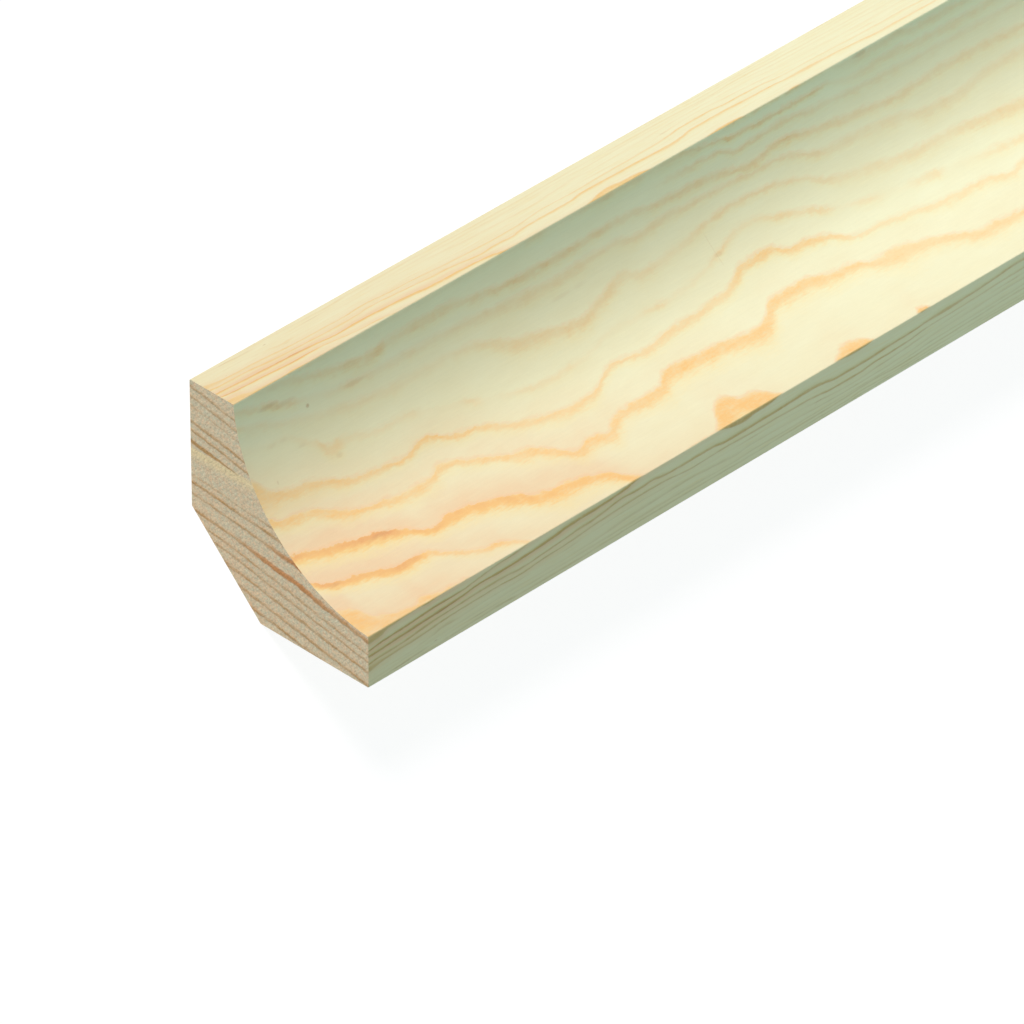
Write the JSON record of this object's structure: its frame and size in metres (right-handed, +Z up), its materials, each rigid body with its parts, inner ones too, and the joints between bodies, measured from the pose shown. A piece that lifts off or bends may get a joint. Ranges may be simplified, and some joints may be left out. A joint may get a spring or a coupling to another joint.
{
  "type": "scotia moulding",
  "caption": "Straight length of planed softwood trim with a concave face between flat lips and a bevelled back, for covering the joint in an inside corner.",
  "frame": {"origin": "middle of the length, on the back bevel, at the section's line of symmetry", "axes": "+X across the section towards the fixing face that is underneath in the picture, +Y along the grain away from the end in view, +Z up out of the hollow face"},
  "size_m": [0.0296, 2.4, 0.0128],
  "materials": {
    "planed_pine": "machine planed, bare and unfinished; pale cream earlywood with orange latewood lines, and greyer end grain"
  },
  "bodies": {
    "root": {"scotia_moulding": "planed_pine"}
  },
  "joints": []
}
